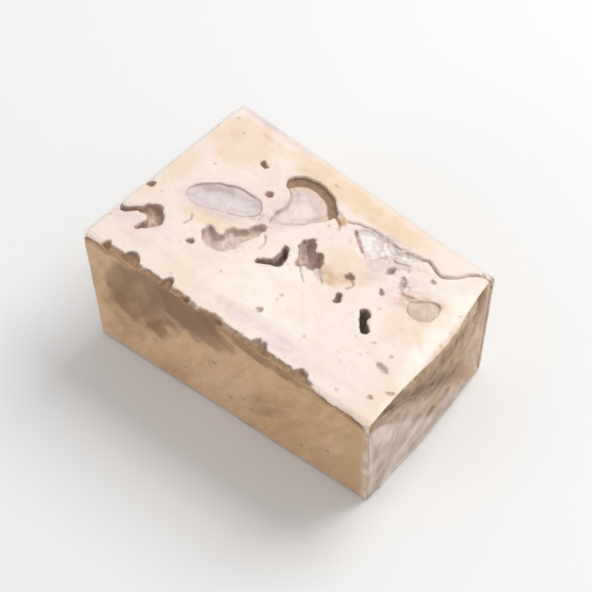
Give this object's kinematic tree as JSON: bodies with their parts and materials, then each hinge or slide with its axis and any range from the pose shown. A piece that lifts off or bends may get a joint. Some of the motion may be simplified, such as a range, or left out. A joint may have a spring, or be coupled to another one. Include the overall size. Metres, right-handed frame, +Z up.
{
  "type": "wrapped nougat block",
  "caption": "Hand-cut block of almond nougat between two wafer sheets, with torn air pockets and folded clear film at its ends.",
  "frame": {"origin": "on the surface that the block lies on, below the middle of its bounding box", "axes": "+X along the block's length, -Y out of the front wafer sheet, +Z up out of the top cut face"},
  "size_m": [0.0633, 0.0424, 0.0285],
  "materials": {
    "nougat": "satin, pressed against clear film",
    "wafer": "matte, finely ribbed",
    "almond": "cut nut with a brown skin",
    "film": "clear glossy film in folded layers"
  },
  "bodies": {
    "root": {"nougat": "nougat", "wafer_front": "wafer", "wafer_back": "wafer", "almond_long": "almond", "almond_skinned": "almond", "almond_end": "almond", "film_end_left": "film", "film_end_right": "film"}
  },
  "joints": []
}
